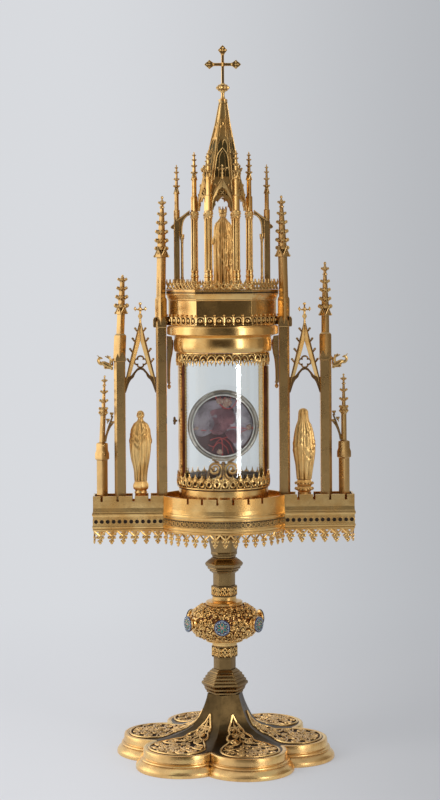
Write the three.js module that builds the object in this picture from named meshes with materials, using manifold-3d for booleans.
// Gilt-brass Gothic tower reliquary: a hexafoil foot and a stem with a knop carry a long platform with a
// glass relic cylinder, two gabled niches with statuettes and a spired canopy. Millimetres, +Z up. The origin
// is the centre of the foot's underside. The reliquary's reverse faces -Y and its three statuettes look to +Y.
import * as THREE from 'three';
import { mergeVertices } from 'three/addons/utils/BufferGeometryUtils.js';
import Module from 'manifold-3d';

const wasm = await Module();
wasm.setup();

// ---------------------------------------------------------------- driving dimensions
const clearance = 0.3;
const foot = {
  lobes: 6, lobeCentre: 64, lobeRadius: 45.6, edge: 19.5, neck: 61.5, neckApothem: 15.8, turn: -12.3,
};
const stem = { radius: 11.2, band: 13, collar: 19.2 };
const knop = {
  radius: 33.5, height: 133, collar: 18.6, neck: 12.4, medals: 6, medalRadius: 8, medalDepth: 7.8, turn: -5,
};
const platform = { halfLength: 130, halfDepth: 13, arcRadius: 66, arcBack: 14, bottom: 225.6, deck: 248 };
const parapet = { sill: 254.3, top: 259.8, wall: 1.7, notch: 2.2, pitch: 15.8 };
const vessel = { glass: 43.4, wall: 1.6, bottom: 268, top: 402.2, stripAngle: 24 };
const capsule = { radius: 35.5, window: 32, depth: 13, height: 328.3 };
const drum = { corner: 54, cornice: 56.6, bottom: 428.6, cove: 454, top: 463.8 };
const canopy = {
  ring: 27.4, baseTop: 483.5, capital: 534.5, block: 541.5, shaft: 556.5, spirelet: 575.5, tip: 603.5,
};
const roof = { eaves: 546, gableFace: 20.5, top: 652, gableApex: 572, lean: 0.0275 };
const niche = { centre: 82.2, halfWidth: 14.6, spring: 365.5, apex: 431, finial: 451.5 };
const pierAt = { small: 121, outer: 103, inner: 61.4, flyer: 44.2 };

const gilt = { color: 0xc9973f, roughness: 0.3, metalness: 1 };
const darkGilt = { color: 0x8d6f3c, roughness: 0.38, metalness: 1 };

// ---------------------------------------------------------------- solids from geometries
const rad = THREE.MathUtils.degToRad;

// The closed solid of a geometry: shared vertices merged, empty triangles dropped, faces turned outwards.
function solidOf(geometry) {
  const bare = geometry.clone();
  bare.deleteAttribute('normal');
  bare.deleteAttribute('uv');
  const merged = mergeVertices(bare, 1e-4);
  const points = merged.attributes.position;
  const corners = merged.index.array;
  const [a, b, c] = [new THREE.Vector3(), new THREE.Vector3(), new THREE.Vector3()];
  const faces = [];
  let volume = 0;
  for (let i = 0; i < corners.length; i += 3) {
    const [p, q, r] = [corners[i], corners[i + 1], corners[i + 2]];
    if (p === q || q === r || r === p) continue;
    faces.push([p, q, r]);
    a.fromBufferAttribute(points, p);
    b.fromBufferAttribute(points, q);
    c.fromBufferAttribute(points, r);
    volume += a.dot(b.cross(c));
  }
  const triVerts = new Uint32Array(faces.flatMap(([p, q, r]) => (volume < 0 ? [p, r, q] : [p, q, r])));
  const vertProperties = new Float32Array(points.array.slice(0, points.count * 3));
  return new wasm.Manifold(new wasm.Mesh({ numProp: 3, vertProperties, triVerts }));
}

function geometryOf(solid) {
  const mesh = solid.getMesh();
  const geometry = new THREE.BufferGeometry();
  geometry.setAttribute('position', new THREE.BufferAttribute(new Float32Array(mesh.vertProperties), 3));
  geometry.setIndex(new THREE.BufferAttribute(new Uint32Array(mesh.triVerts), 1));
  return geometry;
}

function join(...parts) {
  return geometryOf(parts.flat().map(solidOf).reduce((whole, part) => whole.add(part)));
}

function cut(body, ...tools) {
  return geometryOf(tools.flat().map(solidOf).reduce((whole, tool) => whole.subtract(tool), solidOf(body)));
}

// ---------------------------------------------------------------- basic shapes
// A body turned about Z from [radius, height] stations, closed on the axis at both ends.
// Turns are counted from -Y towards +X, so four sides with no turn show a corner to the front.
function turned(stations, sides, turn = 0) {
  const closed = [[0, stations[0][1]], ...stations, [0, stations.at(-1)[1]]];
  const points = closed.map(([r, z]) => new THREE.Vector2(r, z));
  return new THREE.LatheGeometry(points, sides, rad(turn)).rotateX(Math.PI / 2);
}

// A skin through a stack of rings. Each ring gives [x, y, z] for a share u of the turn from -Y towards +X.
function skin(rings, sides) {
  const geometry = new THREE.LatheGeometry(rings.map((ring, level) => new THREE.Vector2(1, level)), sides);
  const position = geometry.attributes.position;
  for (let i = 0; i <= sides; i += 1) {
    rings.forEach((ring, level) => {
      position.setXYZ(i * rings.length + level, ...ring((i % sides) / sides, i % sides));
    });
  }
  return geometry;
}

const polar = (radius, angle, z) => [radius * Math.sin(angle), -radius * Math.cos(angle), z];

const pole = (x, y, z) => () => [x, y, z];

function block([x, y, z], [width, depth, height]) {
  return new THREE.BoxGeometry(width, depth, height).translate(x, y, z + height / 2);
}

// A flat plate standing in the XZ plane, its thickness centred on y = 0.
function plate(shape, thickness, curveSegments = 4) {
  const geometry = new THREE.ExtrudeGeometry(shape, { depth: thickness, bevelEnabled: false, curveSegments });
  return geometry.translate(0, 0, -thickness / 2).rotateX(Math.PI / 2);
}

// A plan outline raised from z0 to z1.
function slab(shape, z0, z1, curveSegments = 3) {
  const geometry = new THREE.ExtrudeGeometry(shape, { depth: z1 - z0, bevelEnabled: false, curveSegments });
  return geometry.translate(0, 0, z0);
}

const outline = (points) => new THREE.Shape(points.map(([x, z]) => new THREE.Vector2(x, z)));

// A bar of a small round section along a curve through the given points.
function bar(points, radius, steps, sides = 4) {
  const section = new THREE.Shape().absarc(0, 0, radius, 0, Math.PI * 2);
  const extrudePath = new THREE.CatmullRomCurve3(points.map((point) => new THREE.Vector3(...point)));
  const curveSegments = sides / 2;
  return new THREE.ExtrudeGeometry(section, { extrudePath, steps, curveSegments, bevelEnabled: false });
}

const moved = (geometry, x, y, z) => geometry.clone().translate(x, y, z);

const spun = (geometry, degrees) => geometry.clone().rotateZ(rad(degrees));

const mirrored = (geometry) => geometry.clone().scale(-1, 1, 1);

// Leans a part over along X from a height upwards, by so many millimetres for each millimetre of height.
function leant(geometry, from, slope) {
  const shear = new THREE.Matrix4().makeShear(0, 0, 0, 0, slope, 0);
  return geometry.clone().applyMatrix4(shear).translate(-slope * from, 0, 0);
}

// ---------------------------------------------------------------- group
const reliquary = new THREE.Group();
reliquary.name = 'reliquary';

function add(name, geometry, finish = gilt) {
  const mesh = new THREE.Mesh(geometryOf(solidOf(geometry)), new THREE.MeshStandardMaterial(finish));
  mesh.name = name;
  reliquary.add(mesh);
}

// A piece drawn for the +X side, with its mirror image on the -X side.
function addPair(name, geometry, finish = gilt) {
  add(`${name}_right`, geometry, finish);
  add(`${name}_left`, mirrored(geometry), finish);
}

// ---------------------------------------------------------------- foot
// Radius of the hexafoil outline at an angle, for lobes of the given radius.
function hexafoil(angle, lobeRadius) {
  const span = (Math.PI * 2) / foot.lobes;
  const fromLobe = ((angle % span) + span) % span - span / 2;
  const across = foot.lobeCentre * Math.sin(fromLobe);
  return foot.lobeCentre * Math.cos(fromLobe) + Math.sqrt(lobeRadius ** 2 - across ** 2);
}

// Radius of a hexagon whose corners point at the cusps between the lobes.
function cuspHexagon(angle, apothem) {
  const span = (Math.PI * 2) / foot.lobes;
  const fromFlat = ((angle % span) + span) % span - span / 2;
  return apothem / Math.cos(fromFlat);
}

function makeFoot() {
  const turn = rad(foot.turn);
  const lobed = (z, inset) => (u) => {
    const angle = u * Math.PI * 2;
    return polar(hexafoil(angle, foot.lobeRadius - inset), angle + turn, z);
  };
  const flare = (z, apothem) => (u) => {
    const angle = u * Math.PI * 2;
    return polar(cuspHexagon(angle, apothem), angle + turn, z);
  };
  const edge = [[0, 0], [2.4, 0], [9, 7], [foot.edge, 7.6]];
  const slope = [[21.8, 58], [24.4, 42], [31, 29], [42.2, 22.4], [51, 18.6]];
  const rings = [
    pole(0, 0, 0),
    ...edge.map(([z, inset]) => lobed(z, inset)),
    ...slope.map(([z, apothem]) => flare(z, apothem)),
    flare(foot.neck, foot.neckApothem),
    pole(0, 0, foot.neck),
  ];
  return skin(rings, 30);
}

add('foot', makeFoot(), darkGilt);

// ---------------------------------------------------------------- stem and knop
const hexagonal = (stations) => turned(stations, 6, 30);

add('stem_lower_collar', hexagonal([
  [18.4, 61.8], [20.5, 65.5], [23.5, 71], [23.5, 74.5], [20.5, 77], [18.5, 80.5], [15, 83], [12.6, 85.5],
]), darkGilt);
add('stem_lower_shaft', join(
  hexagonal([[stem.radius, 85.8], [stem.radius, 98]]),
  hexagonal([[stem.band, 97.2], [stem.band, 108.6]]),
), darkGilt);
add('knop', turned([
  [knop.neck, 108.9], [knop.neck, 112.6], [knop.collar, 113], [knop.collar, 117.2], [28, 120], [32.4, 126],
  [knop.radius, knop.height], [32.4, 140], [26, 146.8], [knop.collar, 149.4], [knop.collar, 152.8],
  [knop.neck, 154.4], [knop.neck, 158],
], 16));
add('stem_upper_shaft', join(
  hexagonal([[stem.band, 158.3], [stem.band, 168.5]]),
  hexagonal([[stem.radius, 168], [stem.radius, 180.8]]),
), darkGilt);
add('stem_upper_collar', hexagonal([
  [12.5, 181.1], [15, 183.5], [17, 186.6], [stem.collar, 190], [stem.collar, 191.4], [13, 196.2],
]), darkGilt);
const funnel = [[11.8, 196.5], [13.6, 203.5], [15.4, 212], [20, 219], [30, 223.6], [30, 225.3]];
add('platform_funnel', hexagonal(funnel), darkGilt);

// A round enamel plaque on its neck, facing -Y.
function makeMedallion() {
  const { medalRadius, medalDepth } = knop;
  const rim = medalDepth - 2.8;
  const stations = [[5.2, 0], [5.2, rim - 1], [medalRadius, rim], [medalRadius, medalDepth]];
  return turned(stations, 6, 30).rotateX(Math.PI / 2).translate(0, -knop.radius - clearance, knop.height);
}

for (let i = 0; i < knop.medals; i += 1) {
  add(`knop_medallion_${i + 1}`, spun(makeMedallion(), knop.turn + (i * 360) / knop.medals));
}

// ---------------------------------------------------------------- platform
// The plan: straight wings with a lens of two arcs between them, all moved out by the offset.
function platformPlan(offset) {
  const { halfLength, halfDepth, arcRadius, arcBack } = platform;
  const [length, depth, radius] = [halfLength + offset, halfDepth + offset, arcRadius + offset];
  const half = Math.acos((depth + arcBack) / radius);
  const plan = new THREE.Shape();
  plan.moveTo(-length, depth);
  plan.lineTo(-length, -depth);
  plan.absarc(0, arcBack, radius, -Math.PI / 2 - half, -Math.PI / 2 + half, false);
  plan.lineTo(length, -depth);
  plan.lineTo(length, depth);
  plan.absarc(0, -arcBack, radius, Math.PI / 2 - half, Math.PI / 2 + half, false);
  return plan;
}

function makePlatform() {
  const { bottom, deck } = platform;
  const wall = cut(
    slab(platformPlan(0), deck - 1, parapet.top),
    slab(platformPlan(-parapet.wall), deck - 2, parapet.top + 1),
  );
  const height = parapet.top - parapet.sill + 1;
  const notches = [-4, -3, -2, -1, 0].flatMap((step) => {
    const x = pierAt.outer + 18.4 + (step * parapet.pitch);
    return [x, -x].map((place) => block([place, 0, parapet.sill], [parapet.notch, 60, height]));
  });
  const lensTurns = [-2.5, -1.5, -0.5, 0.5, 1.5, 2.5].map((step) => step * 13.4);
  const lensNotches = lensTurns.flatMap((turn) => [1, -1].map((face) => {
    const notch = block([0, -platform.arcRadius * face, parapet.sill], [parapet.notch, 12, height]);
    return notch.rotateZ(rad(turn)).translate(0, platform.arcBack * face, 0);
  }));
  return join(
    slab(platformPlan(0), bottom, deck),
    slab(platformPlan(2), bottom + 2.2, bottom + 5.4),
    slab(platformPlan(2.4), deck - 8.6, deck - 3.8),
    cut(wall, notches, lensNotches),
  );
}

add('platform', makePlatform());

// ---------------------------------------------------------------- crests
// A thin upright or hanging row of leaf points along a closed plan, which is a function of the share of its
// length that gives [x, y, outward x, outward y].
function crest(plan, { root, valley, tip, thickness, count }) {
  const at = (offset, height) => (u, step) => {
    const [x, y, outX, outY] = plan(u);
    return [x + outX * offset, y + outY * offset, height(step)];
  };
  const edge = (step) => (step % 2 ? tip : valley);
  const rings = [
    at(-thickness / 2, () => root),
    at(thickness / 2, () => root),
    at(0, edge),
    at(-thickness / 2, () => root),
  ];
  return skin(rings, count * 2);
}

const circlePlan = (radius) => (u) => {
  const [x, y] = polar(1, u * Math.PI * 2, 0);
  return [x * radius, y * radius, x, y];
};

// A hexagon with a flat side to the front. Corners fall on whole sixths of the turn.
const hexagonPlan = (corner) => (u) => {
  const side = Math.floor(u * 6 + 1e-9);
  const along = u * 6 - side;
  const [ax, ay] = polar(corner, rad(side * 60 + 30), 0);
  const [bx, by] = polar(corner, rad(side * 60 + 90), 0);
  const [outX, outY] = along < 1e-6 ? polar(1, rad(side * 60 + 30), 0) : polar(1, rad(side * 60 + 60), 0);
  return [ax + (bx - ax) * along, ay + (by - ay) * along, outX, outY];
};

// The platform's plan as points at even steps along its length, with the outward direction at each.
function platformRun(offset, count) {
  const points = platformPlan(offset).getSpacedPoints(count);
  return (u) => {
    const index = Math.round(u * count) % count;
    const [before, here, after] = [-1, 0, 1].map((step) => points[(index + step + count) % count]);
    const along = after.clone().sub(before).normalize();
    return [here.x, here.y, along.y, -along.x];
  };
}

const dropCount = 28;
add('platform_crest', crest(platformRun(-1.2, dropCount * 2), {
  root: platform.bottom - clearance, valley: 219.5, tip: 212, thickness: 1.6, count: dropCount,
}));

// ---------------------------------------------------------------- glass vessel
add('vessel_base', turned([
  [46.6, platform.deck + clearance], [46.6, 251.5], [44.4, 252.5], [44.4, 264.4],
  [45.4, 265.2], [45.4, vessel.bottom - clearance],
], 16));
add('vessel_base_crest', crest(circlePlan(46.1), {
  root: 268, valley: 276, tip: 283.8, thickness: 1.5, count: 16,
}));

function makeGlass() {
  const { glass, wall, bottom, top } = vessel;
  const inner = glass - wall;
  const ring = [[inner, bottom], [glass, bottom], [glass, top], [inner, top], [inner, bottom]];
  return new THREE.LatheGeometry(ring.map(([r, z]) => new THREE.Vector2(r, z)), 16).rotateX(Math.PI / 2);
}

add('glass_cylinder', makeGlass(), { color: 0xdfe8ea, roughness: 0.05, metalness: 0 });

// A band curved round the side of the glass, towards +X, between two radii and two heights.
function sideBand(inner, outer, halfAngle, z0, z1) {
  const half = rad(halfAngle);
  const plan = new THREE.Shape();
  plan.absarc(0, 0, outer, -half, half, false);
  plan.absarc(0, 0, inner, half, -half, true);
  return slab(plan, z0, z1, 3);
}

// The strips up the sides of the glass. The right one has a raised band between the crests.
const strip = sideBand(
  vessel.glass + 0.5, vessel.glass + 1.7, vessel.stripAngle, vessel.bottom + clearance, vessel.top,
);
const stripRidge = sideBand(vessel.glass + 1.2, vessel.glass + 2.9, vessel.stripAngle - 8, 285, 387.6);
add('vessel_strip_right', join(strip, stripRidge));
add('vessel_strip_left', mirrored(strip));

// The latch screw: four small lobes on a stalk, out of the left strip.
function makeLatch() {
  const lobes = [[6, 2], [2, 6]].map(([depth, height]) => block([-49, 0, -height / 2], [2, depth, height]));
  const stalk = block([-47.2, 0, -1], [3.2, 2, 2]);
  return moved(join(stalk, lobes), 0, -4, 333.5);
}

add('latch_screw', makeLatch(), darkGilt);

add('vessel_top_crest', crest(circlePlan(46.1), {
  root: 402.2, valley: 396.5, tip: 388.8, thickness: 1.5, count: 16,
}));

// ---------------------------------------------------------------- relic capsule
function makeCapsule() {
  const { radius, window, depth } = capsule;
  const near = [[window, 1.8], [window + 0.8, 0], [radius, 1]];
  const far = [[radius, depth - 1], [window + 0.8, depth], [window, depth - 1.8]];
  return turned([...near, ...far], 16).rotateX(Math.PI / 2);
}

add('relic_capsule', moved(makeCapsule(), 0, capsule.depth / 2, capsule.height),
  { color: 0xb9b3ad, roughness: 0.35, metalness: 0.8 });

// The stand: a stem under the capsule between two scrolls, on a small base plate.
function makeCapsuleStand() {
  const scrolls = [1, -1].map((side) => {
    const turn = (angle) => [side * (8.6 + 6.4 * Math.cos(angle)), 0, 284.2 + 6.4 * Math.sin(angle)];
    const points = [0, 60, 120, 180, 240, 300].map((degrees) => turn(rad(degrees + 50)));
    return bar(points, 1.1, 5);
  });
  const stemTop = capsule.height - capsule.radius - clearance - 0.6;
  return join(
    block([0, 0, 268], [40, 12, 2.2]),
    block([0, 0, 270], [3.4, 3.4, stemTop - 270]),
    block([0, 0, 287.8], [11, 2.2, 2]),
    scrolls,
    [1, -1].map((side) => block([side * 14.4, 0, 269.5], [2, 2, 13])),
  );
}

add('capsule_stand', makeCapsuleStand());

// ---------------------------------------------------------------- vessel cap and hexagon drum
add('vessel_cap', turned([
  [47, 402.5], [49, 405], [49, 411], [46.5, 414.3], [49.5, 418], [55.6, 419.8], [55.6, 427], [54.4, 428.3],
], 16));
add('hexagon_drum', hexagonal([
  [drum.corner, drum.bottom], [drum.corner, drum.cove], [drum.cornice, 459.3], [drum.cornice, drum.top],
]));
add('arcade_crest', crest(hexagonPlan(drum.corner + 0.9), {
  root: drum.bottom + 0.1, valley: 436, tip: 439.6, thickness: 1.5, count: 12,
}));
add('parapet_crest', crest(hexagonPlan(drum.cornice - 1.6), {
  root: drum.top + clearance, valley: 468, tip: 474.6, thickness: 1.6, count: 12,
}));

// ---------------------------------------------------------------- piers and pinnacles
// Stations of a crocketed taper: at each tier the leaves stand out to the reach, less towards the tip.
function leafTiers(base, tip, half, tiers, reach) {
  const taper = (z) => 0.7 + ((half - 0.7) * (tip - z)) / (tip - base);
  const leaves = tiers.flatMap((z, i) => {
    const out = reach * (1 - (0.3 * i) / tiers.length);
    return [[taper(z), z - 2.6], [out, z + 0.4]];
  });
  return [...leaves, [0.6, tip]];
}

// A square post or pinnacle from [half width, height] stations, its flat sides to the front.
const squareStack = (x, stations) => {
  const corners = stations.map(([half, z]) => [half * Math.SQRT2, z]);
  return moved(turned(corners, 4, 45), x, 0, 0);
};

// The same with its corners to the front. Stations are [half diagonal, height].
const cornerStack = (x, stations) => moved(turned(stations, 4), x, 0, 0);

function makeSmallPier(lean) {
  const x = pierAt.small;
  const post = cornerStack(x, [
    [5.6, platform.deck + clearance], [5.6, 295], [7.4, 295.4], [7.4, 302],
    [6, 305], [6, 311.5], [2.4, 312.4],
  ]);
  const pinnacle = squareStack(x, [
    [2.2, 311], [2.2, 338.5], [4.2, 341], [3.4, 346], ...leafTiers(346, 377.4, 2, [353.5, 362.9, 372], 4.2),
  ]);
  return join(post, leant(pinnacle, 312, lean));
}

// The cap of a tall pier: a wedge that slopes up and in from the outer face.
function slopedCap(x, half, z0, z1, overhang) {
  const outer = half + overhang;
  const shape = outline([[outer, z0], [outer, z0 + 2], [-half * 0.4, z1], [-half, z1], [-half, z0]]);
  return moved(plate(shape, half * 2.1), x, 0, 0);
}

// The left outer pier has lost its finial, so it stops above the third tier of leaves.
function makeOuterPier(broken, lean) {
  const x = pierAt.outer;
  const tip = broken ? 479.6 : 491.5;
  const tiers = broken ? [454.5, 464.5, 474.5] : [454, 463, 471.6, 478.5, 485];
  const pinnacle = join(
    cornerStack(x, [[6.2, 396], [6.2, 419.5]]),
    squareStack(x, [[4, 419], [4, 440.8], [6.6, 442.4], [4, 447], ...leafTiers(447, tip, 2.6, tiers, 5.4)]),
  );
  return join(
    squareStack(x, [[5.5, platform.deck + clearance], [5.5, 393]]),
    slopedCap(x, 5.5, 392.5, 399.5, 0.8),
    leant(pinnacle, 400, lean),
  );
}

function makeInnerPier() {
  const x = pierAt.inner;
  const tiers = [512.5, 521.5, 530.5, 539.3, 546, 552];
  return join(
    squareStack(x, [[5.3, platform.deck + clearance], [5.3, 427]]),
    slopedCap(x, 5.3, 426.5, 436.5, 2.6),
    cornerStack(x, [[5.8, 433], [5.8, 456.5]]),
    leant(squareStack(x, [
      [4.6, 456], [4.6, 495.8], [7.4, 497.6], [4.8, 504], ...leafTiers(504, 557.7, 3.6, tiers, 6.2),
    ]), 456, -0.018),
  );
}

// The left pinnacles are bent a little towards the middle.
add('small_pier_right', makeSmallPier(0));
add('small_pier_left', mirrored(makeSmallPier(-0.045)));
add('outer_pier_right', makeOuterPier(false, 0));
add('outer_pier_left', mirrored(makeOuterPier(true, -0.044)));
addPair('inner_pier', makeInnerPier());

// ---------------------------------------------------------------- niche gables
// The upper edge of a gable from its left foot over the apex to its right foot, with a leaf at each share of
// the rake.
function leafedGable([halfWidth, footZ], [halfTop, apexZ], shares, reach, leafWidth) {
  const rise = new THREE.Vector2(halfWidth - halfTop, apexZ - footZ);
  const along = rise.clone().normalize();
  const out = new THREE.Vector2(-along.y, along.x);
  const start = new THREE.Vector2(-halfWidth, footZ);
  const left = [start.clone()];
  shares.forEach((share) => {
    const root = start.clone().addScaledVector(rise, share);
    left.push(root.clone().addScaledVector(along, -leafWidth / 2));
    left.push(root.clone().addScaledVector(out, reach).addScaledVector(along, leafWidth / 3));
    left.push(root.clone().addScaledVector(along, leafWidth / 2));
  });
  left.push(new THREE.Vector2(-halfTop, apexZ));
  return [...left, ...left.map(({ x, y }) => new THREE.Vector2(-x, y)).reverse()];
}

// An open gable: leafed rakes, a pointed trefoil arch and a quatrefoil ring between them, and a fleuron on
// top.
function makeGable() {
  const { centre, halfWidth, spring, apex, finial } = niche;
  const footTop = 377.5;
  const openingFoot = [halfWidth - 3.4, footTop - 4];
  const opening = [
    [halfWidth, footTop - 7], openingFoot, [0, apex - 18], [-openingFoot[0], openingFoot[1]],
    [-halfWidth, footTop - 7],
  ];
  const rakes = new THREE.Shape([
    ...leafedGable([halfWidth, footTop], [1.2, apex], [0.24, 0.54, 0.84], 3.2, 3.6),
    ...opening.map(([x, z]) => new THREE.Vector2(x, z)),
  ]);
  const archEnd = halfWidth - 0.1;
  const upper = [[archEnd, footTop - 6], [8.6, 376.8], [4.4, 381.4], [0, 386.4]];
  const lower = [[0, 383.8], [5.6, 378.6], [7.6, 374.6], [10.6, 374], [12.4, 370], [archEnd, spring]];
  const half = [...upper, ...lower];
  const arches = [1, -1].map((side) => plate(outline(half.map(([x, z]) => [x * side, z])), 1.8));
  const quatrefoil = new THREE.TorusGeometry(5.2, 0.9, 3, 8).rotateX(Math.PI / 2).translate(0, 0, 391.4);
  const fleuron = [
    cornerStack(0, [[1.3, apex - 2], [1.2, 436.2], [3.4, 438.4], [1.2, 440.6], [1.2, finial]]),
    block([0, 0, finial - 8.4], [11.4, 2.4, 3.4]),
    block([0, 0, finial - 8.4], [3.4, 9, 3.4]),
  ];
  return moved(join(plate(rakes, 4.4), arches, quatrefoil, fleuron), centre, 0, 0);
}

// The right gable is set a little lower than the left.
add('side_gable_right', moved(makeGable(), 0, 0, -1.2));
add('side_gable_left', mirrored(makeGable()));

// ---------------------------------------------------------------- gargoyles, branches and brackets
// A winged beast crouching outwards from the outer pier's cap.
function makeGargoyle() {
  const start = pierAt.outer + 6.3 + clearance;
  const body = bar([
    [start, 0, 388.4], [start + 5, 0, 389.2], [start + 9.5, 0, 391.6], [start + 13, 0, 392.6],
  ], 3, 3);
  const head = moved(new THREE.OctahedronGeometry(2.7).scale(1.5, 0.9, 1), start + 14.2, 0, 393);
  const wingShape = outline([
    [start + 1, 389], [start + 2.2, 398.2], [start + 7.6, 396], [start + 8.2, 390.4],
  ]);
  const wings = [1.7, -1.7].map((y) => moved(plate(wingShape, 1.1), 0, y, 0));
  return join(body, head, wings);
}

addPair('gargoyle', makeGargoyle());

// A forked branch with leaves, from the small pier's pinnacle to the outer pier's face.
function makeBranch() {
  const from = pierAt.small - 3.4 - clearance;
  const to = pierAt.outer + 6.1 + clearance;
  const stalk = bar([[from, 0, 313.5], [from - 1.6, 0, 322], [from - 5, 0, 329], [to, 0, 333]], 1, 4);
  const upper = bar([[from - 2.6, 0, 325], [from - 4.6, 0, 332], [to + 0.6, 0, 339.5]], 0.9, 2);
  const leaves = [[to + 1.9, 332], [to + 2, 340.6], [from - 2.4, 332.6]].map(([x, z]) => (
    moved(new THREE.OctahedronGeometry(2.3).scale(1, 0.7, 1), x, 0, z)
  ));
  return join(stalk, upper, leaves);
}

addPair('leaf_branch', makeBranch());

// A corbel from the inner pier that meets the vessel cap's hollow, with a drop below.
function makeBracket() {
  const pierFace = pierAt.inner - 5.3 - clearance;
  const shape = new THREE.Shape();
  shape.moveTo(pierFace, 372);
  shape.lineTo(pierFace, 418.2);
  shape.lineTo(50.6, 417.6);
  shape.lineTo(49.9, 413.6);
  shape.quadraticCurveTo(51.7, 409, 51.6, 398);
  shape.lineTo(51.6, 372);
  const drop = moved(turned([[0.7, 364.8], [2.4, 367.6], [1.5, 370.4], [2.5, 373]], 6), 53.6, 0, 0);
  return join(plate(shape, 5.4), drop);
}

addPair('drum_bracket', makeBracket());

// ---------------------------------------------------------------- statuettes
// A robed body: rings of [height, half width, half depth, fold depth], folds fading out towards the shoulders.
function robe(x, stations, folds, sides) {
  const ring = ([z, halfWidth, halfDepth, fold]) => (u) => {
    const angle = u * Math.PI * 2;
    const wave = 1 + fold * Math.cos(folds * angle);
    return [x + halfWidth * wave * Math.sin(angle), -halfDepth * wave * Math.cos(angle), z];
  };
  return skin([pole(x, 0, stations[0][0]), ...stations.map(ring), pole(x, 0, stations.at(-1)[0])], sides);
}

const head = (x, z, radius) => {
  const ball = new THREE.SphereGeometry(radius, 7, 5).scale(0.86, 0.95, 1.12);
  return ball.rotateX(Math.PI / 2).translate(x, 0.6, z);
};

// Two sleeves that meet before the chest, on the +Y side.
function sleeves(x, elbow, hands, reach, radius) {
  return [1, -1].map((side) => bar([
    [x + side * reach, 0.4, elbow + 9], [x + side * (reach + 0.4), 1.6, elbow], [x + side * 0.6, 6.2, hands],
  ], radius, 3));
}

function makeBareheadedFigure() {
  const x = -niche.centre - 0.4;
  return join(
    robe(x, [
      [273.8, 6.2, 5.2, 0.12], [283, 6.6, 5, 0.14], [305, 10.8, 6, 0.08], [312, 11, 6.2, 0.05],
      [322, 10.2, 5.6, 0.03], [330, 8, 4.4, 0], [334, 3, 2.6, 0], [337, 2.4, 2.2, 0],
    ], 5, 10),
    head(x, 340, 4.8),
    sleeves(x, 311, 316, 8.4, 2.2),
  );
}

function makeVeiledFigure() {
  const x = niche.centre - 1.4;
  return join(
    robe(x, [
      [273.8, 7.6, 5.6, 0.12], [283, 8, 5.6, 0.14], [301, 11.2, 6.2, 0.08], [312, 10.6, 6, 0.05],
      [323, 9.8, 5.4, 0.03], [329, 8, 4.6, 0], [333, 4.8, 4.4, 0], [340, 4.7, 4.7, 0], [344, 2.4, 2.6, 0],
    ], 5, 10),
    head(x, 338.4, 4.5),
    sleeves(x, 309, 316, 8.2, 2.2),
  );
}

// The crowned statuette under the canopy.
function makeCrownedFigure() {
  const x = 1;
  const crown = moved(turned([[3, -3], [3.6, 0.6], [4.5, 5.6]], 5), x, 0.4, 541);
  return join(
    robe(x, [
      [drum.top + clearance, 9.6, 7.4, 0.1], [480, 9.4, 7, 0.12], [497, 9.6, 6.6, 0.09],
      [512, 9.6, 6, 0.06], [521, 9.8, 5.6, 0.04], [527, 7.4, 4.6, 0.02], [531, 3.4, 3, 0], [534, 2.6, 2.4, 0],
    ], 5, 10),
    head(x, 536.2, 4),
    crown,
    sleeves(x, 512, 517, 8.8, 2.2),
  );
}

// Both pedestals stand on the deck on the same foot and differ above it.
const pedestalFoot = [[6.8, platform.deck + clearance], [6.4, 251]];
const pedestal = (x, stations) => moved(turned([...pedestalFoot, ...stations], 8), x, 0, 0);

add('bareheaded_figure', makeBareheadedFigure());
add('veiled_figure', makeVeiledFigure());
add('crowned_figure', makeCrownedFigure());
add('figure_pedestal_left', pedestal(-niche.centre - 0.4, [
  [5.6, 253], [5.6, 260], [6.6, 262.5], [6, 264], [9, 267], [9, 270.6], [7.4, 273.5],
]));
add('figure_pedestal_right', pedestal(niche.centre - 1.4, [
  [5.8, 253], [5.8, 261.5], [9.4, 264], [7.6, 267], [9.4, 270], [7.8, 273.5],
]));

// ---------------------------------------------------------------- canopy
// Three shafts bundled on a stepped base, as one six-sided skin pinched between the shafts, with a capital, a
// block and a square pinnacle above. Stations are [radius, height, pinch].
function makeCanopyColumn() {
  const { baseTop, capital, block: blockTop, shaft, spirelet, tip } = canopy;
  const stations = [
    [4.6, drum.top + clearance, 0], [4.2, baseTop - 2, 0], [3.5, baseTop, 0.4],
    [3.5, capital, 0.4], [4.4, blockTop, 0], [3.7, shaft, 0],
  ];
  const ring = ([radius, z, pinch]) => (u, step) => (
    polar(radius * (step % 2 ? 1 - pinch : 1), u * Math.PI * 2, z)
  );
  return join(
    skin([pole(0, 0, stations[0][1]), ...stations.map(ring), pole(0, 0, shaft)], 6),
    cornerStack(0, [
      [3.2, shaft - 0.4], [3, spirelet], [4.8, spirelet + 2.4],
      ...leafTiers(spirelet + 7, tip, 2, [588, 595.5], 3.8),
    ]),
  );
}

for (let i = 0; i < 6; i += 1) {
  add(`canopy_column_${i + 1}`, spun(moved(makeCanopyColumn(), 0, -canopy.ring, 0), 30 + i * 60));
}

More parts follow.
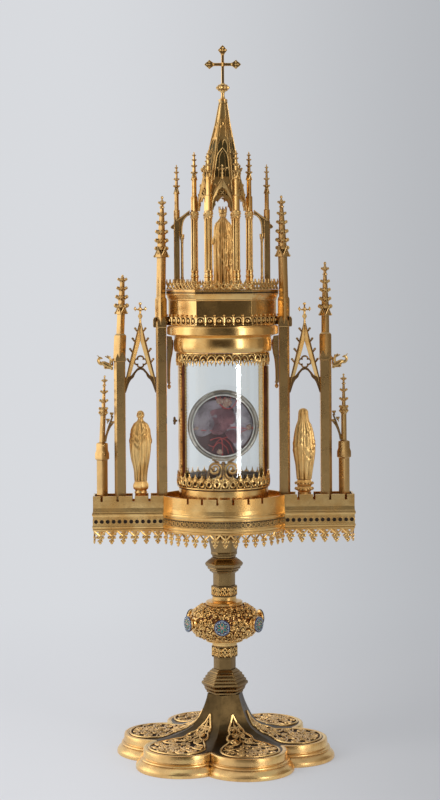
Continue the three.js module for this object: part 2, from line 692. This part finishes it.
// An outer pier of the canopy with its colonnette, the flying half-arch and its own spirelet.
function makeFlyerPier() {
  const x = pierAt.flyer;
  const top = 525;
  const arch = new THREE.Shape();
  arch.moveTo(x + 6, top);
  arch.lineTo(x - 12.2, 542.2);
  arch.lineTo(x - 12.2, 537.4);
  arch.quadraticCurveTo(x - 4.6, 532.6, x - 4.4, 517);
  arch.lineTo(x + 4, 517);
  return join(
    block([x + 1, 0, drum.top + clearance], [7, 6, top - 5 - drum.top]),
    moved(turned([[1.7, drum.top + clearance], [1.7, 470], [1.4, 512], [2.4, 516.4]], 6, 30), x - 3.6, 0, 0),
    plate(arch, 4.6),
    cornerStack(x + 0.6, [
      [2.7, top + 3], [2.7, 563], [4, 565.4], ...leafTiers(569, 590.5, 1.8, [576, 583.5], 3.8),
    ]),
    block([x + 5.6, 0, top - 0.6], [3, 3, 3]),
  );
}

addPair('flyer_pier', makeFlyerPier());

// One gable of the canopy: plain rakes and a finial over a pointed arch, facing -Y.
function makeCanopyGable() {
  const half = 10.4;
  const { eaves, gableApex } = roof;
  const right = [
    [0, 588], [0.9, 583.6], [2.8, 581], [0.9, 578.6], [1.4, gableApex], [half, eaves + 3], [half, eaves],
    [6.6, eaves], [5.2, 551.6], [0, 556.4],
  ];
  const left = right.slice(1, -1).reverse().map(([x, z]) => [-x, z]);
  return plate(outline([...right, ...left]), 2.4);
}

// The spire is bent over a little towards +X.
function makeRoof() {
  const { eaves, gableFace, top, lean } = roof;
  const spire = turned([[23.3, eaves + 4], [11, 613.5], [7.5, 628.5], [3.5, top]], 6, 30);
  const gables = [0, 1, 2, 3, 4, 5].map((i) => spun(moved(makeCanopyGable(), 0, -gableFace, 0), i * 60));
  return join(moved(leant(spire, eaves + 4, lean), -0.8, 0, 0), gables);
}

// The roof stops clear of the pinnacles that stand at its corners.
function makeCanopyRoof() {
  const sleeve = turned([[5.1, roof.eaves - 12], [5.1, canopy.tip]], 6);
  const sleeves6 = [0, 1, 2, 3, 4, 5].map((i) => spun(moved(sleeve, 0, -canopy.ring, 0), 30 + i * 60));
  return cut(makeRoof(), sleeves6);
}

add('canopy_roof', makeCanopyRoof());

// ---------------------------------------------------------------- cross finial
function makeCross() {
  const arms = [[0, 20], [18.5, 0], [-18.5, 0]].map(([x, z]) => [x, 689 + z]);
  const ends = arms.map(([x, z]) => {
    const inward = new THREE.Vector2(-x, 689 - z).normalize().multiplyScalar(4);
    return block([x + inward.x, 0, z + inward.y - 3.6], [7.2, 3, 7.2]);
  });
  return join(
    turned([[4.4, 652.3], [4.4, 654.4], [1.8, 656], [2, 661], [7.6, 665], [4.4, 668], [2.2, 671]], 6, 30),
    block([0, 0, 669], [3.4, 3, 37]),
    block([0, 0, 687.4], [30, 3, 3.4]),
    ends,
    moved(new THREE.OctahedronGeometry(4.4, 0).scale(1, 0.5, 1), 0, 0, 689),
  );
}

// The cross stands on the bent spire's tip.
add('cross_finial', moved(makeCross(), 1.8, 0, 0));

export default reliquary;
